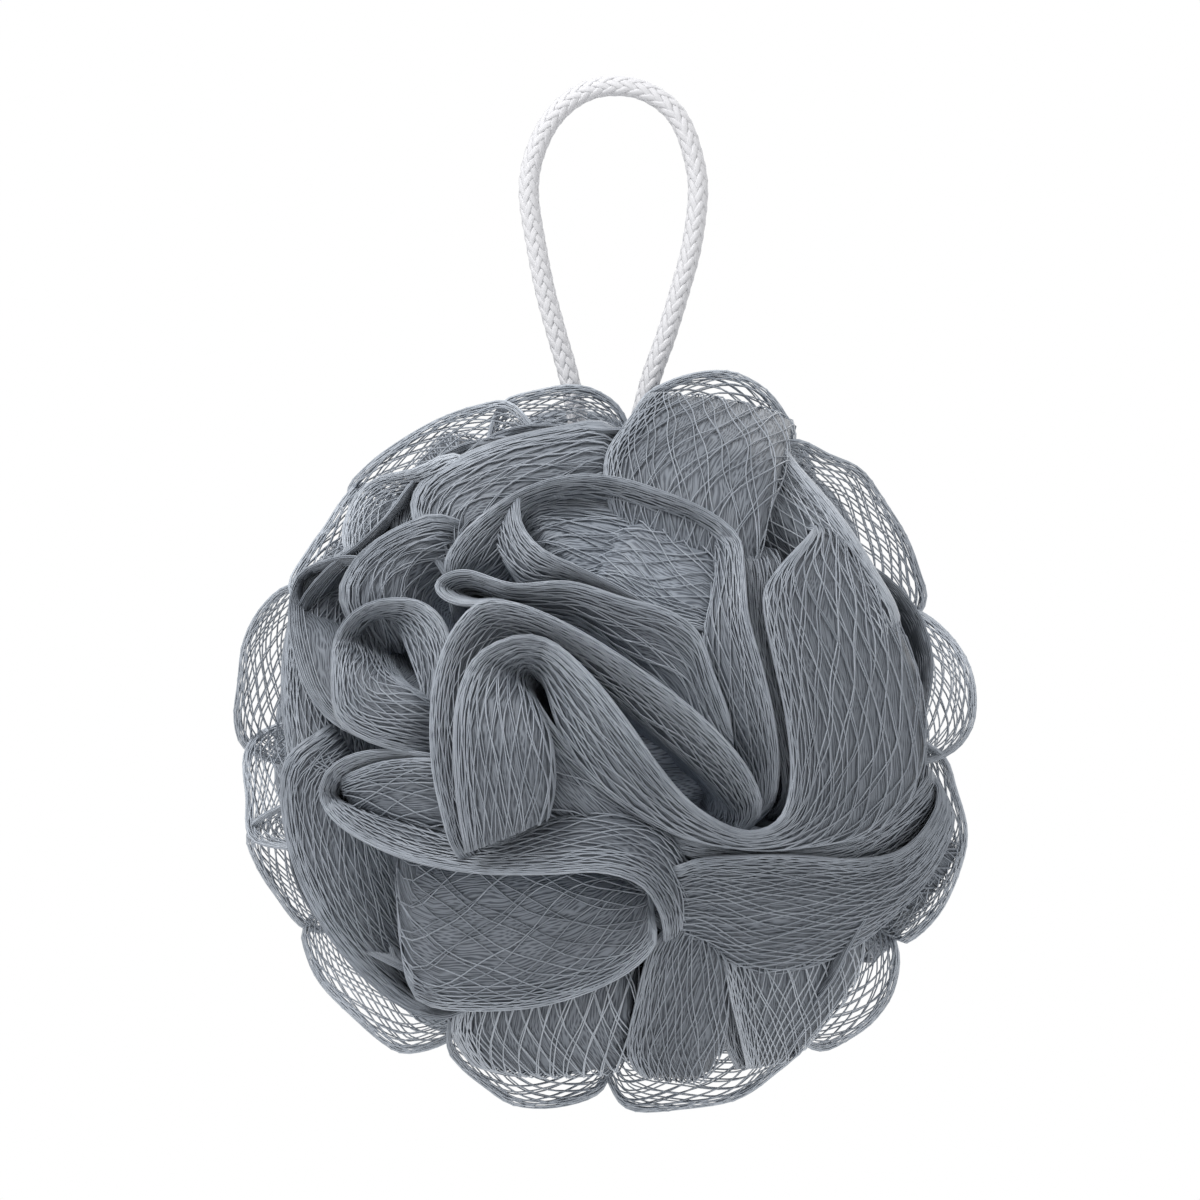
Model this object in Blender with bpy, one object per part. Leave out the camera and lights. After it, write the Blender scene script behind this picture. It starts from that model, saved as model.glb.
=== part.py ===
"""Mesh bath pouf: one gathered net sleeve, the twine that ties its waist, and a braided hanging cord.

Metres, +Z up. The origin is where a hook carries the top of the cord's loop, and the ball hangs below it.
The front of the ball faces -Y. The ruffles are traced in the pixels of a front view of the ball.
"""
import math

import bmesh
import bpy
import numpy as np
from mathutils import Matrix, Vector

# Ball of net
BALL_RADIUS = 0.070
BALL_DROP = 0.1218
BALL_ASIDE = -0.0017
NET_THICKNESS = 0.0016
RIM_WIDTH = 0.286 * BALL_RADIUS
RIM_SLANT = 0.186
STATION_PITCH = 0.155 * BALL_RADIUS
MITRE_LIMIT = 0.6
SHARP_DEGREES = 40.0

# Pleated middle, and how far the skirts of the ruffles go in under its pleats
HEART_RADIUS = 0.63 * BALL_RADIUS
HEART_PLEATS = 8
HEART_RINGS = 7
PLEAT_DEPTH = 0.004
SKIRT_SINK = 0.001
ROOT_RADIUS = HEART_RADIUS - PLEAT_DEPTH - SKIRT_SINK

# Ruffles round the sides: latitude counts from the rim towards the front or the back
BELT_RUFFLES = 6
BELT_OVERLAP = 1.2
BELT_STATIONS = 11
BELT_WAVES = 1.6
BELT_LATITUDE = 22.0
BELT_SWING = 6.0
BELT_FOLD_LATITUDE = 11.0
BELT_FOLD_SWING = 3.0
BELT_CREST = 0.95
BELT_FOLD = 0.78
BELT_TUCK = 0.06
BELT_STAGGER = 0.25
BELT_PHASE = 1.7
RIM_FOLD_SLANT = 0.3

# Waist, where the twine ties the net in the middle of the ball
WAIST_RADIUS = 0.008
TWINE_DIAMETER = 0.0012
TWINE_TURNS = 8
TWINE_LAYERS = 3
TURN_SIDES = 24
TURN_RIDGE_POINTS = 3
SEAT_GAP = 0.0003
TWINE_CLEARANCE = 0.0006
TWINE_INNER = WAIST_RADIUS + SEAT_GAP
TWINE_OUTER = TWINE_INNER + TWINE_LAYERS * TWINE_DIAMETER

# Hanging cord
CORD_DIAMETER = 0.004
CORD_CLEARANCE = 0.0006
CORD_POINTS = 34
CORD_SAMPLES = 400
CORD_ROUNDNESS = 2
LEG_OFFSET = 0.0031

# Points closer than this are one point
SAME_PLACE = 0.00001

# Front view that the ruffles are traced in
VIEW_CENTRE = (605.0, 741.5)
VIEW_RADIUS = 371.0

CENTRE = Vector((BALL_ASIDE, 0.0, -BALL_DROP))

# Each station of a ruffle: the crest's pixel x and y and its share of the ball's radius, then the fold's.
RUFFLES = {
    "tongue_sweep": (
        (468, 848, .99, 540, 818, .97), (460, 800, 1.0, 546, 785, .98), (456, 740, 1.0, 543, 740, .98),
        (461, 690, 1.0, 530, 703, .94), (480, 653, 1.0, 521, 680, .86), (518, 635, 1.0, 530, 668, .80),
        (552, 640, 1.0, 548, 682, .80), (590, 672, 1.0, 562, 722, .84), (625, 715, 1.0, 590, 768, .87),
        (660, 765, 1.0, 640, 808, .89), (695, 803, .99, 695, 833, .91), (740, 826, .98, 755, 842, .92),
        (775, 815, .96, 815, 838, .93), (787, 775, .94, 870, 826, .94), (782, 715, .93, 915, 780, .95),
        (768, 650, .93, 918, 700, .95), (760, 600, .93, 893, 620, .94), (772, 572, .92, 855, 562, .93),
        (808, 534, .92, 815, 530, .90),
    ),
    "behind_tongue": (
        (458, 850, .96, 480, 842, .91), (443, 805, .97, 465, 800, .92), (434, 755, .97, 462, 752, .92),
        (434, 700, .97, 463, 700, .91), (443, 655, .97, 470, 668, .90), (460, 622, .97, 490, 650, .86),
        (485, 601, .97, 520, 645, .80), (525, 605, .97, 555, 652, .80), (580, 630, .97, 590, 672, .82),
        (640, 668, .96, 632, 705, .84), (695, 710, .95, 672, 738, .85), (738, 755, .94, 712, 775, .84),
        (758, 795, .93, 735, 805, .82), (752, 820, .90, 735, 822, .80),
    ),
    "lip": (
        (505, 603, .90, 505, 608, .80), (470, 604, .92, 480, 606, .80), (440, 596, .93, 465, 600, .80),
        (440, 579, .94, 470, 592, .80), (468, 571, .94, 490, 592, .80), (515, 584, .94, 520, 602, .84),
        (570, 582, .94, 575, 610, .84), (625, 598, .93, 622, 640, .82), (680, 612, .92, 668, 680, .80),
        (708, 614, .91, 715, 690, .80),
    ),
    "arch": (
        (447, 572, .90, 470, 580, .80), (455, 545, .92, 500, 560, .82), (485, 515, .94, 517, 530, .84),
        (525, 490, .95, 530, 508, .86), (572, 477, .95, 565, 500, .84), (615, 479, .95, 610, 508, .80),
        (662, 493, .95, 655, 522, .80), (706, 512, .95, 690, 532, .80), (736, 537, .95, 706, 548, .80),
        (742, 570, .95, 712, 580, .82), (746, 615, .95, 708, 625, .84), (758, 660, .94, 712, 670, .82),
        (770, 710, .92, 725, 720, .80), (776, 760, .89, 745, 770, .76), (770, 800, .86, 755, 810, .74),
    ),
    "lower_lip": (
        (521, 497, .93, 500, 545, .84), (523, 525, .93, 515, 565, .84), (542, 549, .93, 535, 578, .84),
        (575, 566, .92, 565, 583, .82), (612, 584, .91, 600, 592, .80), (645, 605, .89, 640, 612, .78),
    ),
    "cup_back": (
        (528, 510, .86, 540, 548, .80), (560, 500, .84, 572, 566, .78), (605, 502, .83, 600, 580, .76),
        (650, 512, .83, 618, 572, .75), (684, 520, .84, 640, 545, .77),
    ),
    "upper_band": (
        (606, 424, .93, 604, 476, .88), (560, 428, .94, 565, 478, .88), (505, 440, .94, 525, 490, .88),
        (455, 460, .94, 495, 508, .87), (424, 480, .93, 478, 528, .86), (412, 508, .92, 462, 546, .84),
        (424, 540, .90, 458, 568, .80),
    ),
    "upper_panel": (
        (650, 395, .98, 792, 425, .99), (625, 425, .95, 780, 465, .96), (606, 455, .92, 765, 500, .94),
        (604, 490, .88, 755, 545, .90), (612, 520, .80, 745, 590, .82),
    ),
    "left_curl": (
        (400, 748, .92, 420, 740, .84), (362, 735, .94, 400, 725, .84), (339, 715, .95, 385, 705, .82),
        (335, 675, .96, 372, 680, .80), (338, 638, .96, 362, 648, .80), (358, 611, .96, 372, 625, .80),
        (388, 599, .96, 390, 618, .80), (422, 601, .95, 405, 630, .80), (446, 620, .94, 418, 660, .82),
        (455, 655, .92, 428, 690, .84), (445, 700, .90, 432, 725, .84),
    ),
    "pocket_band": (
        (438, 752, .88, 436, 765, .78), (400, 747, .91, 405, 765, .78), (360, 751, .93, 372, 770, .80),
        (333, 766, .95, 350, 785, .82), (323, 790, .96, 345, 800, .84), (337, 817, .97, 370, 808, .86),
        (372, 840, .97, 410, 822, .87), (420, 858, .97, 455, 838, .88), (480, 868, .97, 505, 842, .88),
        (545, 869, .97, 555, 822, .88), (600, 867, .97, 610, 815, .88), (640, 880, .97, 655, 828, .87),
        (659, 908, .96, 684, 862, .86), (663, 935, .92, 690, 905, .82),
    ),
    "pocket_floor": (
        (652, 915, .93, 650, 895, .86), (655, 938, .965, 635, 890, .82), (630, 965, .965, 600, 885, .80),
        (590, 986, .965, 560, 880, .79), (540, 1001, .965, 515, 876, .79), (485, 1006, .965, 470, 872, .80),
        (435, 1003, .965, 430, 870, .82), (412, 985, .96, 414, 868, .84),
    ),
    "lower_right_band": (
        (668, 862, .90, 664, 922, .84), (700, 853, .92, 700, 938, .86), (750, 850, .94, 745, 965, .88),
        (800, 851, .95, 800, 962, .90), (850, 855, .96, 850, 942, .92), (895, 848, .97, 895, 905, .95),
        (925, 820, .98, 925, 870, .97), (935, 785, .97, 945, 820, .97),
    ),
    "lower_small_band": (
        (668, 912, .86, 700, 932, .86), (648, 945, .90, 720, 958, .90), (634, 1000, .94, 723, 1005, .94),
        (626, 1045, .97, 718, 1045, .97), (640, 1070, .98, 702, 1072, .98),
    ),
    "lower_left_band": (
        (290, 755, .96, 330, 790, .88), (284, 800, .97, 340, 840, .88), (292, 850, .98, 358, 890, .88),
        (312, 902, .99, 380, 935, .88), (345, 952, .99, 402, 968, .88), (385, 990, .99, 420, 992, .88),
        (425, 1012, .98, 440, 1005, .88), (462, 1008, .94, 465, 1004, .86),
    ),
    "left_arch": (
        (348, 728, .92, 352, 700, .84), (316, 700, .94, 338, 670, .86), (297, 655, .96, 335, 640, .86),
        (291, 612, .97, 325, 615, .86), (300, 577, .97, 322, 592, .86), (328, 561, .96, 345, 580, .84),
        (362, 558, .93, 372, 580, .82),
    ),
    "upper_left_panel": (
        (342, 600, .92, 400, 603, .86), (350, 570, .94, 405, 575, .88), (372, 545, .95, 425, 555, .88),
        (405, 525, .95, 445, 548, .87), (440, 515, .93, 455, 545, .84),
    ),
    "upper_left_edge": (
        (345, 545, .95, 380, 560, .88), (352, 505, .97, 392, 525, .88), (375, 480, .98, 415, 500, .88),
        (415, 470, .97, 450, 485, .88), (455, 455, .95, 480, 480, .88),
    ),
    "bottom_panel": (
        (455, 1010, .93, 630, 985, .90), (455, 1035, .96, 628, 1020, .94), (480, 1065, .985, 622, 1060, .975),
    ),
    "bottom_right_panel": (
        (722, 965, .90, 860, 940, .90), (730, 1000, .94, 850, 985, .94), (740, 1040, .96, 820, 1020, .965),
        (745, 1065, .975, 790, 1050, .98),
    ),
    "right_shoulder": (
        (765, 432, .96, 745, 490, .88), (800, 470, .95, 772, 515, .88), (838, 515, .95, 800, 545, .88),
        (870, 565, .95, 835, 585, .90), (897, 620, .95, 868, 640, .92),
    ),
    "pocket_inner": (
        (345, 775, .90, 355, 800, .86), (380, 760, .91, 385, 812, .86), (415, 755, .90, 420, 818, .86),
        (445, 755, .88, 450, 822, .84),
    ),
    "tongue_hollow": (
        (540, 700, .85, 540, 800, .85), (565, 735, .85, 565, 812, .85), (600, 770, .85, 600, 820, .85),
        (640, 800, .85, 640, 830, .84),
    ),
    "cup_floor": (
        (610, 575, .80, 640, 520, .82), (650, 600, .80, 675, 535, .82), (700, 608, .82, 712, 560, .84),
    ),
    "gap_right": (
        (742, 560, .88, 775, 560, .86), (748, 620, .88, 785, 620, .86), (758, 680, .87, 795, 680, .85),
        (772, 740, .86, 800, 740, .85), (780, 790, .84, 798, 790, .83),
    ),
    "under_sweep": (
        (745, 842, .88, 745, 862, .86), (800, 845, .90, 800, 868, .86), (850, 835, .92, 850, 868, .88),
        (895, 805, .94, 900, 850, .90), (925, 770, .95, 935, 815, .93),
    ),
}

# Outer edge of each petal round the rim, in the same pixels, and how far its middle and its end lie to the
# back, as shares of the ball's radius
RIM_PETALS = {
    "rim_top_right": (
        ((640, 402), (665, 383), (700, 372), (735, 372), (768, 390), (790, 420), (796, 442)), 0.0, 0.114,
    ),
    "rim_right_upper": (
        ((790, 440), (830, 455), (862, 470), (886, 502), (907, 535), (920, 568), (927, 604)), 0.0, RIM_SLANT,
    ),
    "rim_right": (
        ((898, 608), (925, 613), (952, 636), (970, 665), (976, 698), (970, 730), (945, 755)), 0.0, -RIM_SLANT,
    ),
    "rim_right_lower": (
        ((940, 752), (956, 790), (967, 832), (960, 872), (940, 915), (908, 944), (892, 930)), 0.0, RIM_SLANT,
    ),
    "rim_low_right": (
        ((898, 945), (896, 988), (876, 1020), (848, 1040), (820, 1050), (793, 1034)), 0.0, -RIM_SLANT,
    ),
    "rim_bottom": (
        ((802, 1042), (772, 1075), (735, 1100), (682, 1110), (632, 1112), (610, 1088)), 0.0, RIM_SLANT,
    ),
    "rim_bottom_left": (
        ((608, 1082), (590, 1100), (550, 1109), (512, 1105), (484, 1086), (460, 1065), (448, 1042)),
        0.0, -RIM_SLANT,
    ),
    "rim_low_left": (
        ((455, 1036), (412, 1052), (386, 1045), (350, 1015), (320, 985), (305, 955), (303, 928)),
        0.0, RIM_SLANT,
    ),
    "rim_left_lower": (((306, 932), (272, 893), (254, 862), (247, 836), (262, 815)), 0.0, -RIM_SLANT),
    "rim_left_middle": (((252, 838), (246, 795), (243, 755), (262, 730)), 0.0, RIM_SLANT),
    "rim_left": (((246, 752), (233, 722), (237, 682), (243, 642), (262, 607), (294, 584)), 0.0, -RIM_SLANT),
    "rim_left_upper": (((290, 588), (308, 550), (325, 525), (342, 498), (362, 482)), 0.0, RIM_SLANT),
    "rim_top_left": (
        ((346, 494), (365, 466), (400, 440), (440, 418), (480, 405), (512, 404)), 0.0, -RIM_SLANT,
    ),
    "rim_top": (((500, 405), (540, 390), (575, 385), (602, 393), (625, 415)), -0.086, 0.043),
}

# The ruffles that are repeated at the back, rolled round the ball's front-to-back line
BACK_RUFFLES = (
    "tongue_sweep", "behind_tongue", "lip", "arch", "upper_band", "upper_panel", "left_curl", "pocket_band",
    "pocket_floor", "lower_right_band", "lower_small_band", "lower_left_band", "left_arch", "bottom_panel",
    "right_shoulder", "tongue_hollow", "gap_right", "under_sweep",
)
BACK_ROLL_DEGREES = 137.0

# Share of the triangles that stays once the slivers where ruffles meet are collapsed
KEPT_SHARE = 0.75

# Route of the cord's loop, as pixels of the same view, from the left leg over the top to the right leg
LOOP_PIXELS = (
    (587, 520), (582, 450), (570, 382), (557, 335), (545, 290), (536, 244), (529, 198), (532, 163),
    (546, 128), (566, 104), (590, 90), (614, 86), (639, 89), (662, 101), (679, 119), (691, 148),
    (698, 189), (692, 244), (680, 290), (666, 336), (650, 382), (634, 450), (626, 520),
)


def clear_scene():
    for obj in list(bpy.data.objects):
        bpy.data.objects.remove(obj)


def material(name, colour, roughness):
    made = bpy.data.materials.new(name)
    made.use_nodes = True
    shader = made.node_tree.nodes["Principled BSDF"]
    shader.inputs["Base Color"].default_value = (*colour, 1.0)
    shader.inputs["Roughness"].default_value = roughness
    shader.inputs["Metallic"].default_value = 0.0
    return made


def add_mesh(name, points, faces, look=None, helper=False):
    mesh = bpy.data.meshes.new(name)
    mesh.from_pydata([tuple(p) for p in points], [], faces)
    shaped = bmesh.new()
    shaped.from_mesh(mesh)
    bmesh.ops.recalc_face_normals(shaped, faces=shaped.faces)
    shaped.to_mesh(mesh)
    shaped.free()
    obj = bpy.data.objects.new(name, mesh)
    bpy.context.scene.collection.objects.link(obj)
    if look:
        mesh.materials.append(look)
    if helper:
        obj.hide_render = True
        obj.display_type = "WIRE"
    return obj


def in_ball(px, py, share):
    """A traced pixel as a point of the ball's front, share of the radius from its middle."""
    across = (px - VIEW_CENTRE[0]) / VIEW_RADIUS
    up = (VIEW_CENTRE[1] - py) / VIEW_RADIUS
    towards = math.sqrt(max(share * share - across * across - up * up, 0.0))
    return np.array((across, -towards, up)) * BALL_RADIUS


def smooth(points, count):
    """count points along the Catmull-Rom curve through the given ones."""
    points = np.array(points, float)
    padded = np.vstack([2 * points[0] - points[1], points, 2 * points[-1] - points[-2]])
    out = []
    for t in np.linspace(0, len(points) - 1, count):
        i = min(int(t), len(points) - 2)
        u = t - i
        a, b, c, d = padded[i : i + 4]
        out.append(
            0.5 * (2 * b + (c - a) * u + (2 * a - 5 * b + 4 * c - d) * u * u + (3 * b - a - 3 * c + d) * u**3)
        )
    return np.array(out)


def unit(vectors):
    return vectors / (np.linalg.norm(vectors, axis=-1, keepdims=True) + 1e-12)


def length_of(points):
    return float(np.linalg.norm(np.diff(points, axis=0), axis=1).sum())


def turned_back(point):
    """The same point carried to the back of the ball and rolled there, so that no two sides are alike."""
    roll = Matrix.Rotation(math.radians(BACK_ROLL_DEGREES), 3, "Y") @ Matrix.Rotation(math.pi, 3, "Z")
    return np.array(roll @ Vector(point))


def belt_ruffles():
    """(name, crest rail, fold rail) of the ruffles round each side, which meander more at their crest."""
    found = []
    for side, side_name in ((-1.0, "front_belt"), (1.0, "back_belt")):
        for k in range(BELT_RUFFLES):
            start = math.tau * (k + BELT_STAGGER * side) / BELT_RUFFLES
            span = math.tau / BELT_RUFFLES * BELT_OVERLAP
            crest, fold = [], []
            for t in np.linspace(0.0, 1.0, BELT_STATIONS):
                around = start + span * t
                wave = math.sin(math.tau * BELT_WAVES * t + k * BELT_PHASE)
                tuck = 1.0 - BELT_TUCK * (2 * t - 1) ** 2
                crest.append(on_belt(around, side * (BELT_LATITUDE + BELT_SWING * wave), BELT_CREST * tuck))
                fold.append(
                    on_belt(around, side * (BELT_FOLD_LATITUDE + BELT_FOLD_SWING * wave), BELT_FOLD * tuck)
                )
            found.append((f"{side_name}_{k + 1}", crest, fold))
    return found


def on_belt(around, latitude, share):
    lat = math.radians(latitude)
    return np.array(
        (math.cos(around) * math.cos(lat), math.sin(lat), math.sin(around) * math.cos(lat))
    ) * BALL_RADIUS * share


def rim_ruffles():
    """(name, crest rail, fold rail) of the petals round the rim, which slant from the front to the back."""
    found = []
    for name, (outline, behind, slant) in RIM_PETALS.items():
        crest = [in_ball(px, py, 0.0) for px, py in outline]
        for i, point in enumerate(crest):
            point[1] = (behind + slant * (2 * i / (len(crest) - 1) - 1)) * BALL_RADIUS
        fold = [p * (1 - RIM_WIDTH / np.linalg.norm(p)) for p in crest]
        for point in fold:
            point[1] *= RIM_FOLD_SLANT
        found.append((name, crest, fold))
    return found


def rails_of_ruffles():
    """(name, crest rail, fold rail) of every ruffle, about the ball's middle."""
    found = []
    for name, stations in RUFFLES.items():
        crest = [in_ball(*s[:3]) for s in stations]
        fold = [in_ball(*s[3:]) for s in stations]
        found.append((name, crest, fold))
        if name in BACK_RUFFLES:
            found.append((name + "_back", [turned_back(p) for p in crest], [turned_back(p) for p in fold]))
    return found + rim_ruffles() + belt_ruffles()


def ruffle_wall(name, crest, fold):
    """A thin wall from the crest over the fold to its root in the gathers, as one closed mesh."""
    count = max(3, round(length_of(crest) / STATION_PITCH) + 1)
    crest, fold = smooth(crest, count), smooth(fold, count)
    root = unit(fold) * ROOT_RADIUS
    along = np.gradient((crest + fold) / 2, axis=0)
    band_side = unit(np.cross(along, fold - crest))
    skirt_side = unit(np.cross(along, root - fold))
    mitre = unit(band_side + skirt_side)
    mitre /= np.clip((mitre * band_side).sum(1), MITRE_LIMIT, 1.0)[:, None]
    half = NET_THICKNESS / 2
    near = (crest + band_side * half, fold + mitre * half)
    far = (fold - mitre * half, crest - band_side * half)
    loop = np.stack([*near, root, *far], axis=1)
    width = loop.shape[1]
    faces = [tuple(range(width)), tuple(range((count - 1) * width, count * width))]
    for i in range(count - 1):
        for j in range(width):
            k = (j + 1) % width
            a, b, c, d = i * width + j, i * width + k, (i + 1) * width + k, (i + 1) * width + j
            # The two sides are split along the same diagonal, or a twisted wall would pass through itself
            faces += [(a, b, c), (a, c, d)] if j < 2 else [(a, b, d), (b, c, d)]
    return add_mesh(name, loop.reshape(-1, 3) + np.array(CENTRE), faces, helper=True)


def gathers(look):
    """The pleated middle, where the folds of the net are drawn together at the waist."""
    rings, around = HEART_RINGS, 2 * HEART_PLEATS
    points = [(0.0, -HEART_RADIUS, 0.0)]
    for i in range(1, rings):
        polar = math.pi * i / rings
        for j in range(around):
            radius = HEART_RADIUS - (j % 2) * PLEAT_DEPTH
            lon = math.tau * (j + 0.5 * i) / around
            points.append(
                (
                    radius * math.sin(polar) * math.cos(lon),
                    -radius * math.cos(polar),
                    radius * math.sin(polar) * math.sin(lon),
                )
            )
    points.append((0.0, HEART_RADIUS, 0.0))
    last = len(points) - 1
    faces = []
    for j in range(around):
        k = (j + 1) % around
        faces += [(0, 1 + j, 1 + k), (last, last - around + j, last - around + k)]
        for i in range(rings - 2):
            a, b = 1 + i * around + j, 1 + i * around + k
            faces += [(a, a + around, b + around), (a, b + around, b)]
    return add_mesh("net_sleeve", np.array(points) + np.array(CENTRE), faces, look)


def joined_ruffles(look):
    """The whole net as one closed mesh."""
    net = gathers(look)
    walls = bpy.data.collections.new("ruffle_walls")
    for name, crest, fold in rails_of_ruffles():
        wall = ruffle_wall(name, crest, fold)
        bpy.context.scene.collection.objects.unlink(wall)
        walls.objects.link(wall)
    union = net.modifiers.new("ruffles", "BOOLEAN")
    union.operation = "UNION"
    union.operand_type = "COLLECTION"
    union.collection = walls
    union.solver = "EXACT"
    settle(net)
    thinned = net.modifiers.new("slivers", "DECIMATE")
    thinned.ratio = KEPT_SHARE
    settle(net)
    for wall in list(walls.objects):
        bpy.data.objects.remove(wall)
    bpy.data.collections.remove(walls)
    return net


def settle(obj):
    """Applies obj's modifiers and keeps the largest body, without the pockets shut in between ruffles."""
    depsgraph = bpy.context.evaluated_depsgraph_get()
    mesh = bpy.data.meshes.new_from_object(obj.evaluated_get(depsgraph))
    obj.modifiers.clear()
    obj.data = mesh
    shaped = bmesh.new()
    shaped.from_mesh(mesh)
    bmesh.ops.triangulate(shaped, faces=shaped.faces)
    bodies = bodies_of(shaped)
    bodies.sort(key=len)
    spare = [face for body in bodies[:-1] for face in body]
    bmesh.ops.delete(shaped, geom=spare, context="FACES")
    shaped.to_mesh(mesh)
    shaped.free()


def bodies_of(shaped):
    """Lists of faces that hang together over edges that two faces share."""
    left = set(shaped.faces)
    bodies = []
    while left:
        open_faces = [left.pop()]
        body = []
        while open_faces:
            face = open_faces.pop()
            body.append(face)
            for edge in face.edges:
                for other in edge.link_faces:
                    if other in left:
                        left.remove(other)
                        open_faces.append(other)
        bodies.append(body)
    return bodies


def turned(name, profile, look=None, helper=False):
    """A closed profile of (x, radius) pairs, turned about the waist's line, which runs along X."""
    points = []
    for k in range(TURN_SIDES):
        angle = math.tau * k / TURN_SIDES
        points += [(x, r * math.cos(angle), r * math.sin(angle)) for x, r in profile]
    n = len(profile)
    faces = []
    for k in range(TURN_SIDES):
        near, far = k * n, (k + 1) % TURN_SIDES * n
        for i in range(n):
            j = (i + 1) % n
            faces.append((near + i, near + j, far + j, far + i))
    return add_mesh(name, np.array(points) + np.array(CENTRE), faces, look, helper)


def build_twine():
    look = material("twine_white", (0.80, 0.81, 0.83), 0.6)
    half = TWINE_TURNS * TWINE_DIAMETER / 2
    radius = TWINE_DIAMETER / 2
    profile = [(half, TWINE_INNER), (-half, TWINE_INNER)]
    for turn in range(TWINE_TURNS):
        middle = -half + (turn + 0.5) * TWINE_DIAMETER
        for step in range(TURN_RIDGE_POINTS):
            angle = math.pi * (1 - (step + 0.5) / TURN_RIDGE_POINTS)
            profile.append((middle + radius * math.cos(angle), TWINE_OUTER - radius * (1 - math.sin(angle))))
    twine = turned("waist_twine", profile, look)
    twine.data.shade_smooth()
    return twine


def waist_cutter():
    """The room that the twine takes up round the waist."""
    half = TWINE_TURNS * TWINE_DIAMETER / 2 + SEAT_GAP
    outer = TWINE_OUTER + TWINE_CLEARANCE
    profile = [(half, WAIST_RADIUS), (half, outer), (-half, outer), (-half, WAIST_RADIUS)]
    return turned("waist_cutter", profile, helper=True)


def cord_route():
    """Points of the cord's middle line, from its left end on the twine over the loop to its right end."""
    loop = [in_ball(px, py, 0.0) for px, py in LOOP_PIXELS]
    foot = TWINE_OUTER + SEAT_GAP
    left = [np.array((-LEG_OFFSET, 0.0, foot)), np.array((-LEG_OFFSET, 0.0, foot + 2 * CORD_DIAMETER))]
    right = [np.array((LEG_OFFSET, 0.0, foot + 2 * CORD_DIAMETER)), np.array((LEG_OFFSET, 0.0, foot))]
    return evenly(smooth(left + loop + right, CORD_SAMPLES), CORD_POINTS) + np.array(CENTRE)


def evenly(points, count):
    """count points at equal distances along a run of points."""
    travelled = np.concatenate([[0.0], np.cumsum(np.linalg.norm(np.diff(points, axis=0), axis=1))])
    wanted = np.linspace(0.0, travelled[-1], count)
    return np.stack([np.interp(wanted, travelled, points[:, axis]) for axis in range(3)], axis=1)


def cord_curve(name, radius, beyond=0.0):
    """A round bar along the cord's route, which goes on straight past both of its feet by beyond."""
    curve = bpy.data.curves.new(name, "CURVE")
    curve.dimensions = "3D"
    curve.bevel_depth = radius
    curve.bevel_resolution = CORD_ROUNDNESS
    curve.use_fill_caps = True
    spline = curve.splines.new("POLY")
    route = cord_route()
    route[[0, -1], 2] -= beyond
    spline.points.add(len(route) - 1)
    for point, place in zip(spline.points, route):
        point.co = (*place, 1.0)
    obj = bpy.data.objects.new(name, curve)
    bpy.context.scene.collection.objects.link(obj)
    return obj


def build_cord():
    look = material("cord_white", (0.82, 0.83, 0.86), 0.55)
    cord = cord_curve("hanging_cord", CORD_DIAMETER / 2)
    cord.data.materials.append(look)
    return cord


def channel_cutter():
    """The way that the cord keeps open through the net, from the twine to the outside."""
    guide = cord_curve("channel_guide", CORD_DIAMETER / 2 + CORD_CLEARANCE, beyond=CORD_CLEARANCE)
    depsgraph = bpy.context.evaluated_depsgraph_get()
    mesh = bpy.data.meshes.new_from_object(guide.evaluated_get(depsgraph))
    bpy.data.objects.remove(guide)
    closed = bmesh.new()
    closed.from_mesh(mesh)
    bmesh.ops.remove_doubles(closed, verts=closed.verts, dist=SAME_PLACE)
    bmesh.ops.recalc_face_normals(closed, faces=closed.faces)
    closed.to_mesh(mesh)
    closed.free()
    cutter = bpy.data.objects.new("channel_cutter", mesh)
    bpy.context.scene.collection.objects.link(cutter)
    cutter.hide_render = True
    cutter.display_type = "WIRE"
    return cutter


def cut_away(obj, cutter):
    cut = obj.modifiers.new(cutter.name, "BOOLEAN")
    cut.operation = "DIFFERENCE"
    cut.object = cutter
    cut.solver = "EXACT"
    cut.use_self = True


def build_net():
    look = material("net_grey", (0.20, 0.225, 0.26), 0.45)
    net = joined_ruffles(look)
    cut_away(net, channel_cutter())
    cut_away(net, waist_cutter())
    net.data.shade_smooth()
    net.data.set_sharp_from_angle(angle=math.radians(SHARP_DEGREES))
    return net


clear_scene()
build_net()
build_twine()
build_cord()
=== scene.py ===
"""Looks of the mesh bath pouf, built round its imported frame.

The net is one long flattened tube of extruded strands. Every ruffle is a stretch of that tube, laid along a
crest rail and a fold rail as in the part. Its outer strands are closed three-sided rods, over thin shells of
packed net.
"""
import math

import bpy
import numpy as np
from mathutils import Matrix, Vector


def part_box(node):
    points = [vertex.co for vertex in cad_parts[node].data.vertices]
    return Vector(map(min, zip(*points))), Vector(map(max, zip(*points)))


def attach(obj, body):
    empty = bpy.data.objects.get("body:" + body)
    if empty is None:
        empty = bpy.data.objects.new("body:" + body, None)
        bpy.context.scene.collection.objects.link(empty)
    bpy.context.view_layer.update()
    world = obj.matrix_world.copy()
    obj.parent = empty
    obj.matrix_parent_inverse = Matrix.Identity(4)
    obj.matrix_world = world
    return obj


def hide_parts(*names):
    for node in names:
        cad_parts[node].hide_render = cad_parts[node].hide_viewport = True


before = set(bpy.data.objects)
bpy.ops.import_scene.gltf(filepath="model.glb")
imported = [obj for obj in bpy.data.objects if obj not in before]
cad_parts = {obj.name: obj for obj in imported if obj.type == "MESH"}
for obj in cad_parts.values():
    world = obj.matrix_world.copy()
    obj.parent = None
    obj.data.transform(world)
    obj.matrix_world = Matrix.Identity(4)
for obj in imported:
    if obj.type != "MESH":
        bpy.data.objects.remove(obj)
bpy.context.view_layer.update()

# Ball of net, with the part's sizes
BALL_RADIUS = 0.070
RIM_WIDTH = 0.286 * BALL_RADIUS
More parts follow.
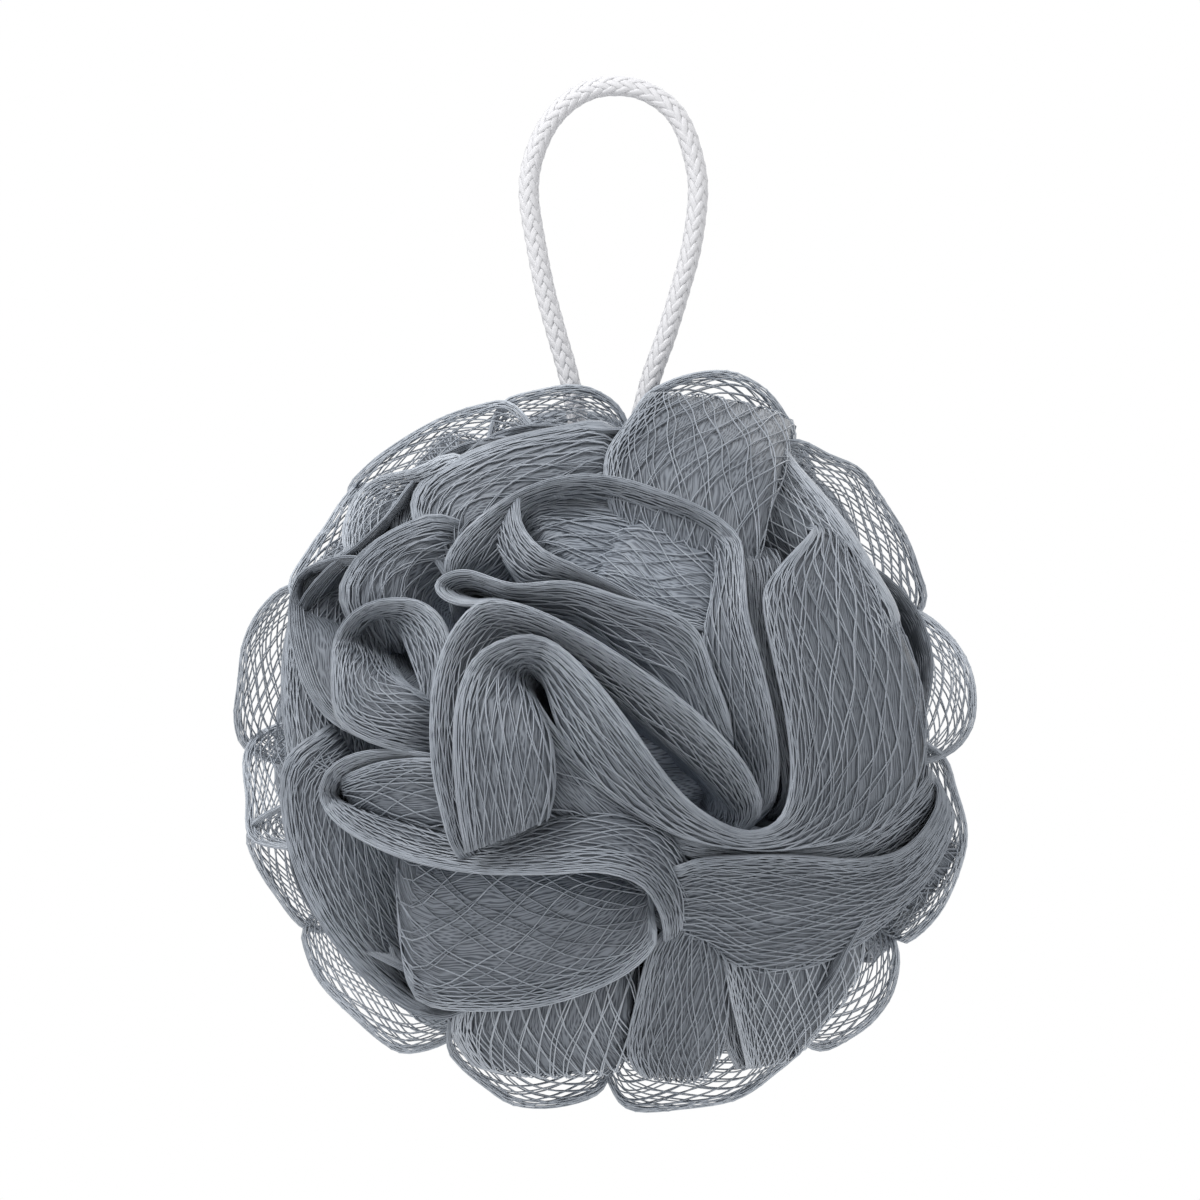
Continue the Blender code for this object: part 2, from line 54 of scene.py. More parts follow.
HEART_RADIUS = 0.63 * BALL_RADIUS
BELT_RUFFLES = 6
BELT_OVERLAP = 1.2
BELT_STATIONS = 11
BELT_WAVES = 1.6
BELT_LATITUDE = 22.0
BELT_SWING = 6.0
BELT_FOLD_LATITUDE = 11.0
BELT_FOLD_SWING = 3.0
BELT_CREST = 0.95
BELT_FOLD = 0.78
BELT_TUCK = 0.06
BELT_STAGGER = 0.25
BELT_PHASE = 1.7
RIM_FOLD_SLANT = 0.3

# Strands of the flattened tube
STRAND_WIDTH = 0.00030
STRAND_HEIGHT = 0.00024
STRAND_GAP = 0.00105
STRAND_SLOPE = 0.16
FEWEST_STRANDS = 6
ROD_ROOT = 0.4
TUBE_THICKNESS = 0.0015
TUBE_ROUNDNESS = 4
BULGE_SHARE = 0.05
DEPTH_BELOW_FOLD = 0.010

# Strands that lie side by side along a lip
LIP_STRANDS = 8
LIP_START = 0.4
LIP_PITCH = 0.00028
LIP_SPREAD = 0.13
LIP_WANDER = 0.00010
LIP_WANDER_LENGTH = 0.02
RIM_LIP_STRANDS = 4

# How the other strands scatter and wander
NET_SEED = 7
PHASE_SCATTER = 0.25
WANDER_WAVES = (0.7, 1.7)
WANDER_LENGTH = 0.03
WANDER_SHARE = 0.09

# Steps along a ruffle, and points across it
STEP_FRONT = 0.0026
STEP_HAIRPIN = 0.0009
STEP_RIM = 0.0019
STEP_OTHERS = 0.0036
FEWEST_STATIONS = 6
CURVE_STEPS = 60
WIDTH_POINTS = 28
ROW_STEPS = 4

# How a ruffle's ends go in under its neighbours
TUCK_RUN = 0.007
TUCK_SHARE = 0.88

# Ruffles and petals in one piece of the net
PIECE_RUFFLES = 4
BACK_PIECE_RUFFLES = 5
RIM_PIECE_PETALS = 7

# Colours of a dark and of a pale strand, over other net and, with painted backlight, where light comes
# through from behind
NET_COLOURS = ((0.185, 0.206, 0.238, 1), (0.320, 0.350, 0.394, 1))
BACKLIT_COLOURS = ((0.300, 0.330, 0.372, 1), (0.460, 0.495, 0.545, 1))
# Colours of the packed layers: the slits between their strands, painted dark as shade, and the strands
LAYER_SHADE_AND_STRAND_COLOURS = ((0.072, 0.082, 0.099, 1), (0.175, 0.194, 0.222, 1))

# Painted light: how many times paler the net is at the gathers than at its surface, lifting their shade
STRANDS_PAINTED_LIGHT = 1.9
LAYERS_PAINTED_LIGHT = 2.6

# Share of a strand's tone that is its own, and the rest comes from patches this many to the metre
OWN_TONE = 0.55
TONE_PATCHES = 90.0

# Slope, pitch and start of the two sets of strands drawn on the layers, and how they wander
DRAWN_SETS = ((0.07, 0.00062, 0.0), (-0.09, 0.00071, 40.0))
DRAWN_WANDER = 0.006
DRAWN_STRETCH = (170.0, 55.0, 1.0)

# Layers of net behind the outer strands, packed too closely to be laid strand by strand
LAYER_THICKNESS = 0.0007
LAYER_INSET = 0.05
LAYER_POINTS = 15
LAYER_EVERY = 2
LAYER_ROOT = 0.040
RIM_LAYER_INSET = 0.6
# Share of the ball's radius out to which the painted light of the gathers fades
SURFACE_SHARE = 0.92

# Gathers of the net in the middle of the ball
GATHER_PLEATS = 34
GATHER_DEPTH = 0.006
GATHER_RINGS = 40
GATHER_SIDES = 204
GATHER_STRANDS = 96
GATHER_TWIST = 7.0
GATHER_SEED = 11
GATHER_LEAN = 0.25
GATHER_SWAY = 0.12
GATHER_LIFT = 0.001

# Hanging cord, braided from two sets of strands that pass over two and under two
CORD_DIAMETER = 0.004
CORD_STRANDS = 8
CORD_LAY = 0.0212
CORD_STEP = 0.0008
CORD_WAVE = 0.00014
CORD_STRAND_WIDTH = 0.00138
CORD_STRAND_THICKNESS = 0.00056
CORD_CORE_RADIUS = 0.00162
CORD_CORE_SIDES = 12
CORD_STRAND_SIDES = 6
LEG_OFFSET = 0.0031
SEAT_GAP = 0.0003
ROUTE_STEPS = 4000

# Yarns of the cord and the twine, and the fibres in them
CORD_COLOURS = ((0.56, 0.56, 0.58, 1), (0.65, 0.65, 0.67, 1))
CORD_FIBRES = (9000.0, 500.0, 1.0)
CORD_FIBRE_DEPTH = 0.0001
TWINE_COLOURS = ((0.66, 0.66, 0.70, 1), (0.82, 0.82, 0.84, 1))
TWINE_FIBRES = 2500.0

# Lengths of a wave texture's bands are this over its scale
WAVE_UNIT = 0.314159

# Front view that the ruffles are traced in, in pixels
VIEW_CENTRE = (605.0, 741.5)
VIEW_RADIUS = 371.0
PHOTO_SIZE = 1200

# Camera of that view
CAMERA_DISTANCE = 3.0
SENSOR_WIDTH = 36.0
CLIP_END = 20.0

# Floor under the ball
FLOOR_LEVEL = -0.32
FLOOR_RADIUS = 2.2
FLOOR_SIDES = 96
FLOOR_WHITE = 0.85
FLOOR_GRAIN = 12.0
FLOOR_COLOURS = ((0.86, 0.86, 0.86, 1), (0.90, 0.90, 0.90, 1))

# Light of the world on the object, and each lamp's place, size and power
WORLD_LIGHT = 0.68
LAMPS = {
    "key": ((-0.50, -0.55, 0.60), 0.4, 6.5),
    "fill": ((0.7, -0.6, 0.1), 0.7, 0.8),
    "above": ((-0.15, -0.20, 0.75), 0.5, 2.0),
    "behind": ((0.35, 0.70, 0.35), 0.7, 2.5),
}

twine_low, twine_high = (np.array(corner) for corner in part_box("waist_twine"))
CENTRE = (twine_low + twine_high) / 2
TWINE_OUTER = (twine_high[2] - twine_low[2]) / 2

# Each station of a ruffle: the crest's pixel x and y and its share of the ball's radius, then the fold's.
RUFFLES = {
    "tongue_sweep": (
        (468, 848, .99, 540, 818, .97), (460, 800, 1.0, 546, 785, .98), (456, 740, 1.0, 543, 740, .98),
        (461, 690, 1.0, 530, 703, .94), (480, 653, 1.0, 521, 680, .86), (518, 635, 1.0, 530, 668, .80),
        (552, 640, 1.0, 548, 682, .80), (590, 672, 1.0, 562, 722, .84), (625, 715, 1.0, 590, 768, .87),
        (660, 765, 1.0, 640, 808, .89), (695, 803, .99, 695, 833, .91), (740, 826, .98, 755, 842, .92),
        (775, 815, .96, 815, 838, .93), (787, 775, .94, 870, 826, .94), (782, 715, .93, 915, 780, .95),
        (768, 650, .93, 918, 700, .95), (760, 600, .93, 893, 620, .94), (772, 572, .92, 855, 562, .93),
        (808, 534, .92, 815, 530, .90),
    ),
    "behind_tongue": (
        (458, 850, .96, 480, 842, .91), (443, 805, .97, 465, 800, .92), (434, 755, .97, 462, 752, .92),
        (434, 700, .97, 463, 700, .91), (443, 655, .97, 470, 668, .90), (460, 622, .97, 490, 650, .86),
        (485, 601, .97, 520, 645, .80), (525, 605, .97, 555, 652, .80), (580, 630, .97, 590, 672, .82),
        (640, 668, .96, 632, 705, .84), (695, 710, .95, 672, 738, .85), (738, 755, .94, 712, 775, .84),
        (758, 795, .93, 735, 805, .82), (752, 820, .90, 735, 822, .80),
    ),
    "lip": (
        (505, 603, .90, 505, 608, .80), (472, 605, .92, 482, 606, .80), (449, 600, .93, 470, 601, .80),
        (438, 588, .94, 466, 595, .80), (446, 576, .94, 474, 590, .80), (470, 571, .94, 490, 592, .80),
        (515, 584, .94, 520, 602, .84), (570, 582, .94, 575, 610, .84), (625, 598, .93, 622, 640, .82),
        (668, 610, .92, 655, 668, .80), (697, 632, .90, 682, 700, .78), (712, 672, .88, 700, 735, .77),
        (728, 720, .86, 718, 765, .76),
    ),
    "arch": (
        (447, 572, .90, 470, 580, .80), (455, 545, .92, 500, 560, .82), (485, 515, .94, 517, 530, .84),
        (525, 490, .95, 530, 508, .86), (572, 477, .95, 565, 500, .84), (615, 479, .95, 610, 508, .80),
        (662, 493, .95, 655, 522, .80), (706, 512, .95, 690, 532, .80), (736, 537, .95, 706, 548, .80),
        (742, 570, .95, 712, 580, .82), (746, 615, .95, 708, 625, .84), (758, 660, .94, 712, 670, .82),
        (770, 710, .92, 725, 720, .80), (776, 760, .89, 745, 770, .76), (770, 800, .86, 755, 810, .74),
    ),
    "lower_lip": (
        (521, 497, .93, 500, 545, .84), (523, 525, .93, 515, 565, .84), (542, 549, .93, 535, 578, .84),
        (575, 566, .92, 565, 583, .82), (612, 584, .91, 600, 592, .80), (645, 605, .89, 640, 612, .78),
    ),
    "cup_back": (
        (528, 510, .86, 540, 548, .80), (560, 500, .84, 572, 566, .78), (605, 502, .83, 600, 580, .76),
        (650, 512, .83, 618, 572, .75), (684, 520, .84, 640, 545, .77),
    ),
    "upper_band": (
        (606, 424, .93, 604, 476, .88), (560, 428, .94, 565, 478, .88), (505, 440, .94, 525, 490, .88),
        (455, 460, .94, 495, 508, .87), (424, 480, .93, 478, 528, .86), (412, 508, .92, 462, 546, .84),
        (424, 540, .90, 458, 568, .80),
    ),
    "upper_panel": (
        (650, 395, .98, 792, 425, .99), (625, 425, .95, 780, 465, .96), (606, 455, .92, 765, 500, .94),
        (604, 490, .88, 755, 545, .90), (612, 520, .80, 745, 590, .82),
    ),
    "left_curl": (
        (400, 748, .92, 420, 700, .93), (362, 735, .94, 404, 690, .95), (339, 715, .95, 388, 682, .95),
        (335, 675, .96, 372, 668, .94), (338, 638, .96, 360, 645, .88), (358, 611, .96, 372, 625, .82),
        (388, 599, .96, 390, 618, .80), (422, 601, .95, 405, 630, .80), (446, 620, .94, 418, 660, .82),
        (455, 655, .92, 428, 690, .84), (445, 700, .90, 432, 725, .84),
    ),
    "pocket_band": (
        (438, 752, .88, 436, 765, .78), (400, 747, .91, 405, 765, .78), (360, 751, .93, 372, 770, .80),
        (333, 766, .95, 350, 785, .82), (323, 790, .96, 345, 800, .84), (337, 817, .97, 370, 808, .86),
        (372, 840, .97, 410, 822, .87), (420, 858, .97, 455, 838, .88), (480, 868, .97, 505, 842, .88),
        (545, 869, .97, 555, 822, .88), (600, 867, .97, 610, 815, .88), (640, 880, .97, 655, 828, .87),
        (659, 908, .96, 684, 862, .86), (663, 935, .92, 690, 905, .82),
    ),
    "pocket_floor": (
        (652, 915, .93, 650, 895, .86), (655, 938, .965, 635, 890, .82), (630, 965, .965, 600, 885, .80),
        (590, 986, .965, 560, 880, .79), (540, 1001, .965, 515, 876, .79), (485, 1006, .965, 470, 872, .80),
        (435, 1003, .965, 430, 870, .82), (412, 985, .96, 414, 868, .84),
    ),
    "lower_right_band": (
        (668, 862, .90, 664, 922, .84), (700, 853, .92, 700, 938, .86), (750, 850, .94, 745, 965, .88),
        (800, 851, .95, 800, 962, .90), (850, 855, .96, 850, 942, .92), (895, 848, .97, 895, 905, .95),
        (925, 820, .98, 925, 870, .97), (935, 785, .97, 945, 820, .97),
    ),
    "lower_small_band": (
        (668, 912, .86, 700, 932, .86), (648, 945, .90, 720, 958, .90), (634, 1000, .94, 723, 1005, .94),
        (626, 1045, .97, 718, 1045, .97), (640, 1070, .98, 702, 1072, .98),
    ),
    "lower_left_band": (
        (290, 755, .96, 330, 790, .88), (284, 800, .97, 340, 840, .88), (292, 850, .98, 358, 890, .88),
        (312, 902, .99, 380, 935, .88), (345, 952, .99, 402, 968, .88), (385, 990, .99, 420, 992, .88),
        (425, 1012, .98, 440, 1005, .88), (462, 1008, .94, 465, 1004, .86),
    ),
    "left_arch": (
        (348, 728, .92, 352, 700, .84), (316, 700, .94, 338, 670, .86), (297, 655, .96, 335, 640, .86),
        (291, 612, .97, 325, 615, .86), (300, 577, .97, 322, 592, .86), (328, 561, .96, 345, 580, .84),
        (362, 558, .93, 372, 580, .82),
    ),
    "upper_left_panel": (
        (342, 600, .92, 400, 603, .86), (350, 570, .94, 405, 575, .88), (372, 545, .95, 425, 555, .88),
        (405, 525, .95, 445, 548, .87), (440, 515, .93, 455, 545, .84),
    ),
    "upper_left_edge": (
        (345, 545, .95, 380, 560, .88), (352, 505, .97, 392, 525, .88), (375, 480, .98, 415, 500, .88),
        (415, 470, .97, 450, 485, .88), (455, 455, .95, 480, 480, .88),
    ),
    "bottom_panel": (
        (455, 1010, .93, 630, 985, .90), (455, 1035, .96, 628, 1020, .94),
        (480, 1065, .985, 622, 1060, .975),
    ),
    "bottom_right_panel": (
        (722, 965, .90, 860, 940, .90), (730, 1000, .94, 850, 985, .94), (740, 1040, .96, 820, 1020, .965),
        (745, 1065, .975, 790, 1050, .98),
    ),
    "right_shoulder": (
        (765, 432, .96, 745, 490, .88), (800, 470, .95, 772, 515, .88), (838, 515, .95, 800, 545, .88),
        (870, 565, .95, 835, 585, .90), (897, 620, .95, 868, 640, .92),
    ),
    "pocket_inner": (
        (345, 775, .90, 355, 800, .86), (380, 760, .91, 385, 812, .86), (415, 755, .90, 420, 818, .86),
        (445, 755, .88, 450, 822, .84),
    ),
    "tongue_hollow": (
        (540, 700, .85, 540, 800, .85), (565, 735, .85, 565, 812, .85), (600, 770, .85, 600, 820, .85),
        (640, 800, .85, 640, 830, .84),
    ),
    "cup_floor": (
        (600, 590, .80, 640, 520, .82), (650, 618, .80, 675, 535, .82), (705, 632, .82, 712, 560, .84),
    ),
    "gap_right": (
        (742, 560, .88, 775, 560, .86), (748, 620, .88, 785, 620, .86), (758, 680, .87, 795, 680, .85),
        (772, 740, .86, 800, 740, .85), (780, 790, .84, 798, 790, .83),
    ),
    "under_sweep": (
        (692, 836, .88, 692, 856, .86), (745, 842, .88, 745, 862, .86), (800, 845, .90, 800, 868, .86),
        (850, 835, .92, 850, 868, .88), (895, 805, .94, 900, 850, .90), (925, 770, .95, 935, 815, .93),
    ),
    "gap_left": (
        (312, 572, .93, 332, 592, .87), (294, 610, .93, 322, 620, .87), (285, 650, .93, 318, 650, .87),
        (284, 700, .93, 318, 695, .87), (290, 745, .93, 322, 735, .87), (302, 775, .93, 330, 765, .87),
    ),
    "gap_top": (
        (392, 525, .90, 420, 548, .84), (400, 492, .91, 428, 518, .85), (432, 470, .91, 452, 498, .86),
        (475, 455, .91, 484, 482, .86),
    ),
    "gap_bottom": (
        (712, 955, .88, 738, 935, .82), (718, 1000, .91, 748, 982, .86), (724, 1040, .94, 752, 1022, .89),
        (735, 1066, .96, 758, 1046, .91),
    ),
}

# How far the ends of most petals lie to the back and to the front, as a share of the ball's radius
RIM_SLANT = 0.186

# Outer edge of each petal round the rim, in the same pixels, and how far its middle and its end lie to the
# back, as shares of the ball's radius
RIM_PETALS = {
    "rim_top_right": (
        ((640, 402), (665, 383), (700, 372), (735, 372), (768, 390), (790, 420), (796, 442)), 0.0, 0.114,
    ),
    "rim_right_upper": (
        ((790, 440), (830, 455), (862, 470), (886, 502), (907, 535), (920, 568), (927, 604)),
        0.0, RIM_SLANT,
    ),
    "rim_right": (
        ((898, 608), (925, 613), (952, 636), (970, 665), (976, 698), (970, 730), (945, 755)),
        0.0, -RIM_SLANT,
    ),
    "rim_right_lower": (
        ((940, 752), (956, 790), (967, 832), (960, 872), (940, 915), (908, 944), (892, 930)),
        0.0, RIM_SLANT,
    ),
    "rim_low_right": (
        ((898, 945), (896, 988), (876, 1020), (848, 1040), (820, 1050), (793, 1034)), 0.0, -RIM_SLANT,
    ),
    "rim_bottom": (
        ((802, 1042), (772, 1075), (735, 1100), (682, 1110), (632, 1112), (610, 1088)), 0.0, RIM_SLANT,
    ),
    "rim_bottom_left": (
        ((608, 1082), (590, 1100), (550, 1109), (512, 1105), (484, 1086), (460, 1065), (448, 1042)),
        0.0, -RIM_SLANT,
    ),
    "rim_low_left": (
        ((455, 1036), (412, 1052), (386, 1045), (350, 1015), (320, 985), (305, 955), (303, 928)),
        0.0, RIM_SLANT,
    ),
    "rim_left_lower": (((306, 932), (272, 893), (254, 862), (247, 836), (262, 815)), 0.0, -RIM_SLANT),
    "rim_left_middle": (((252, 838), (246, 795), (243, 755), (262, 730)), 0.0, RIM_SLANT),
    "rim_left": (((246, 752), (233, 722), (237, 682), (243, 642), (262, 607), (294, 584)), 0.0, -RIM_SLANT),
    "rim_left_upper": (((290, 588), (308, 550), (325, 525), (342, 498), (362, 482)), 0.0, RIM_SLANT),
    "rim_top_left": (
        ((346, 494), (365, 466), (400, 440), (440, 418), (480, 405), (512, 404)), 0.0, -RIM_SLANT,
    ),
    "rim_top": (((500, 405), (540, 390), (575, 385), (602, 393), (625, 415)), -0.086, 0.043),
}

# The ruffles that are repeated at the back, rolled round the ball's front-to-back line
BACK_RUFFLES = (
    "tongue_sweep", "behind_tongue", "lip", "arch", "upper_band", "upper_panel", "left_curl", "pocket_band",
    "pocket_floor", "lower_right_band", "lower_small_band", "lower_left_band", "left_arch", "bottom_panel",
    "right_shoulder", "tongue_hollow", "gap_right", "under_sweep",
)
BACK_ROLL_DEGREES = 137.0

# Stretches where the net is drawn open into wide diamonds
OPEN_NET = {
    "pocket_floor": {"gap": 0.0021, "slope": 0.38},
    "pocket_inner": {"gap": 0.0020, "slope": 0.30},
    "tongue_hollow": {"gap": 0.0022, "slope": 0.25},
    "cup_floor": {"gap": 0.0020, "slope": 0.35},
    "upper_panel": {"gap": 0.0019, "slope": 0.32},
    "right_shoulder": {"gap": 0.0017, "slope": 0.24, "both_faces": True},
    "upper_left_edge": {"gap": 0.0014, "slope": 0.24, "both_faces": True},
    "bottom_panel": {"gap": 0.0013, "slope": 0.30},
    "bottom_right_panel": {"gap": 0.0014, "slope": 0.30},
}
OPEN_RIM = {"gap": 0.0017, "slope": 0.28, "both_faces": True, "lip": RIM_LIP_STRANDS}
# Ruffles one can see through, whose strands get the paler copy with painted backlight
SEE_THROUGH = ("right_shoulder", "upper_left_edge")

# Ruffles that turn back on themselves in a hairpin, which takes finer steps
HAIRPINS = ("lip",)

# Ruffles that start at a cut end, instead of going in under their neighbours
CUT_STARTS = ("tongue_sweep",)

# Route of the cord's loop, as pixels of the same view, from the left leg over the top to the right leg
LOOP_PIXELS = (
    (587, 520), (582, 450), (570, 382), (557, 335), (545, 290), (536, 244), (529, 198), (532, 163),
    (546, 128), (566, 104), (590, 90), (614, 86), (639, 89), (662, 101), (679, 119), (691, 148),
    (698, 189), (692, 244), (680, 290), (666, 336), (650, 382), (634, 450), (626, 520),
)


def in_ball(px, py, share):
    """A traced pixel as a point of the ball's front, share of the radius from its middle."""
    across = (px - VIEW_CENTRE[0]) / VIEW_RADIUS
    up = (VIEW_CENTRE[1] - py) / VIEW_RADIUS
    towards = math.sqrt(max(share * share - across * across - up * up, 0.0))
    return np.array((across, -towards, up)) * BALL_RADIUS


def smooth(points, count):
    """count points along the Catmull-Rom curve through the given ones."""
    points = np.array(points, float)
    padded = np.vstack([2 * points[0] - points[1], points, 2 * points[-1] - points[-2]])
    t = np.linspace(0, len(points) - 1, count)
    i = np.minimum(t.astype(int), len(points) - 2)
    u = (t - i)[:, None]
    a, b, c, d = padded[i], padded[i + 1], padded[i + 2], padded[i + 3]
    square, cube = 2 * a - 5 * b + 4 * c - d, 3 * b - a - 3 * c + d
    return 0.5 * (2 * b + (c - a) * u + square * u**2 + cube * u**3)


def unit(vectors):
    return vectors / (np.linalg.norm(vectors, axis=-1, keepdims=True) + 1e-12)


def travelled(points):
    steps = np.linalg.norm(np.diff(points, axis=0), axis=1)
    return np.concatenate([[0.0], np.cumsum(steps)])


def picked(points, way, wanted):
    """The points at the wanted lengths of the way along them."""
    return np.stack([np.interp(wanted, way, points[:, axis]) for axis in range(3)], axis=1)


def turned_back(points):
    """The same points carried to the back of the ball and rolled there."""
    points = np.array(points) * (-1.0, -1.0, 1.0)
    roll = math.radians(BACK_ROLL_DEGREES)
    x, y, z = points.T
    across = x * math.cos(roll) + z * math.sin(roll)
    up = z * math.cos(roll) - x * math.sin(roll)
    return np.stack([across, y, up], axis=1)


def on_belt(around, latitude, share):
    lat = math.radians(latitude)
    place = (math.cos(around) * math.cos(lat), math.sin(lat), math.sin(around) * math.cos(lat))
    return np.array(place) * BALL_RADIUS * share


def belt_rails(side, k):
    """Crest and fold rail of one ruffle round a side of the ball."""
    start = math.tau * (k + BELT_STAGGER * side) / BELT_RUFFLES
    span = math.tau / BELT_RUFFLES * BELT_OVERLAP
    crest, fold = [], []
    for t in np.linspace(0.0, 1.0, BELT_STATIONS):
        around = start + span * t
        wave = math.sin(math.tau * BELT_WAVES * t + k * BELT_PHASE)
        tuck = 1.0 - BELT_TUCK * (2 * t - 1) ** 2
        crest.append(on_belt(around, side * (BELT_LATITUDE + BELT_SWING * wave), BELT_CREST * tuck))
        fold_latitude = side * (BELT_FOLD_LATITUDE + BELT_FOLD_SWING * wave)
        fold.append(on_belt(around, fold_latitude, BELT_FOLD * tuck))
    return np.array(crest), np.array(fold)


def rim_rails(outline, behind, slant):
    """Crest and fold rail of one petal round the rim."""
    crest = np.array([in_ball(px, py, 0.0) for px, py in outline])
    crest[:, 1] = (behind + slant * np.linspace(-1.0, 1.0, len(crest))) * BALL_RADIUS
    fold = crest - unit(crest) * RIM_WIDTH
    fold[:, 1] *= RIM_FOLD_SLANT
    return crest, fold


def tucked(rail, cut_start=False):
    """The rail with a station more at each end that goes in under the neighbours of its ruffle."""
    first = (rail[0] + unit(rail[0] - rail[1]) * TUCK_RUN) * TUCK_SHARE
    last = (rail[-1] + unit(rail[-1] - rail[-2]) * TUCK_RUN) * TUCK_SHARE
    return np.vstack([rail, last]) if cut_start else np.vstack([first, rail, last])


def even_rails(crest, fold, step):
    """Both rails at the same even steps along the ruffle, and the way travelled."""
    fine = CURVE_STEPS * len(crest)
    crest, fold = smooth(crest, fine), smooth(fold, fine)
    way = (travelled(crest) + travelled(fold)) / 2
    count = max(FEWEST_STATIONS, round(way[-1] / step) + 1)
    wanted = np.linspace(0.0, way[-1], count)
    return picked(crest, way, wanted), picked(fold, way, wanted), wanted


def ruffle_surface(crest, fold, width_points, root=None):
    """Middle surface of a ruffle over its fold and on to root where given, its normals and its widths."""
    along = unit(np.gradient((crest + fold) / 2, axis=0))
    middle = (crest + fold) / 2
    outward = unit(np.cross(along, fold - crest))
    if (outward * middle).sum() < 0:
        outward = -outward
    width = np.linalg.norm(fold - crest, axis=1, keepdims=True)
    reach = np.maximum(np.linalg.norm(fold, axis=1, keepdims=True) - DEPTH_BELOW_FOLD, HEART_RADIUS)
    knots = [crest, middle + outward * width * BULGE_SHARE, fold, unit(fold) * reach]
    if root is not None:
        knots.append(unit(fold) * root)
    knots = np.stack(knots, axis=1)
    u = np.linspace(0.0, 1.0, width_points)
    out = np.empty((len(crest), width_points, 3))
    total = np.empty(len(crest))
    for i in range(len(crest)):
        row = smooth(knots[i], ROW_STEPS * width_points)
        way = travelled(row)
        total[i] = way[-1]
        out[i] = picked(row, way, u * way[-1])
    normal = unit(np.cross(np.gradient(out, axis=0), np.gradient(out, axis=1)))
    if (normal[:, 0] * outward).sum() < 0:
        normal = -normal
    return out, normal, total


def at_share(grid, share):
    """Value of a station-by-width grid at a width share for each station, for many strands at once."""
    places = share * (grid.shape[1] - 1)
    low = np.clip(places.astype(int), 0, grid.shape[1] - 2)
    part = (places - low)[..., None]
    station = np.arange(grid.shape[0])[None, :]
    return grid[station, low] * (1 - part) + grid[station, low + 1] * part


def strand_paths(
    crest, fold, way, rng, gap=STRAND_GAP, slope=STRAND_SLOPE, both_faces=False, lip=LIP_STRANDS
):
    """Points and outward directions of the strands of a stretch of tube, gap apart in each of two sets."""
    surface, normal, total = ruffle_surface(crest, fold, WIDTH_POINTS)
    mean_width = total.mean()
    each = max(FEWEST_STRANDS, round(mean_width / gap * (2 if both_faces else 1)))
    rim_way = unit(surface[:, 0] - surface[:, 3])[None, :]
    shares, faces = [], []
    for direction in (1.0, -1.0):
        wander = np.zeros((each, len(way)))
        for waves in WANDER_WAVES:
            turn = rng.random((each, 1)) * math.tau
            wander += np.sin(math.tau * waves * way / WANDER_LENGTH + turn) * WANDER_SHARE / each
        drift = direction * slope * way / (2 * mean_width)
        phases = (np.arange(each) + PHASE_SCATTER * rng.random(each)) / each
        phi = (phases[:, None] + drift[None, :] + wander + rng.random() / each) % 1.0
        even = 1.0 - np.abs(2.0 * phi - 1.0)
        rounded = 0.5 - 0.5 * np.cos(math.tau * phi)
        shares.append(0.5 * even + 0.5 * rounded)
        faces.append(np.where((phi < 0.5) | (not both_faces), 1.0, -1.0))
    # Strands that lie side by side along the lip, and part from each other away from it
    number = np.arange(lip)[:, None]
    for face in (1.0, -1.0):
        places = (number + LIP_START) * LIP_PITCH * (1 + LIP_SPREAD * number)
        turn = rng.random((lip, 1)) * math.tau
        wander = np.sin(math.tau * way / LIP_WANDER_LENGTH + turn) * LIP_WANDER * number / lip
        shares.append(np.maximum(places + wander, 0.0) / mean_width)
        faces.append(np.full((lip, len(way)), face))
    share, face = np.concatenate(shares), np.concatenate(faces)[..., None]
    lift = (1.0 - np.abs(2 * share - 1.0) ** TUBE_ROUNDNESS) ** 0.5 * TUBE_THICKNESS / 2
    up = at_share(normal, share)
    edge = np.clip(1.0 - lift / (TUBE_THICKNESS / 2), 0.0, 1.0)[..., None]
    towards_rim = np.where(share[..., None] < 0.5, 1.0, -1.0) * rim_way
    side = unit(face * up * (1 - edge) + towards_rim * edge)
    return at_share(surface, share) + face * up * lift[..., None], side


def rods(points, sides, rng):
    """Closed three-sided rods along strands, with a tone of its own for each strand in the UV."""
    strands, count = points.shape[:2]
    along = unit(np.gradient(points, axis=1))
    across = unit(np.cross(along, sides))
    low = points - sides * STRAND_HEIGHT * ROD_ROOT
    top = points + sides * STRAND_HEIGHT * (1 - ROD_ROOT)
    ring = np.stack([low - across * STRAND_WIDTH / 2, top, low + across * STRAND_WIDTH / 2], axis=2)
    start = (np.arange(strands) * count * 3)[:, None]
    here = start + np.arange(count - 1)[None, :] * 3
    faces = ((0, 1), (1, 2), (2, 0))
    quads = [np.stack([here + a, here + b, here + 3 + b, here + 3 + a], axis=-1) for a, b in faces]
    ends = start[:, 0]
    last = ends + (count - 1) * 3
    near = np.stack([ends, ends + 2, ends + 1], axis=-1)
    far = np.stack([last, last + 1, last + 2], axis=-1)
    tone = np.repeat(rng.random(strands), count * 3)
    uv = np.stack([tone, np.zeros(len(tone))], axis=1)
    return ring.reshape(-1, 3), np.stack(quads, axis=2).reshape(-1, 4), np.concatenate([near, far]), uv


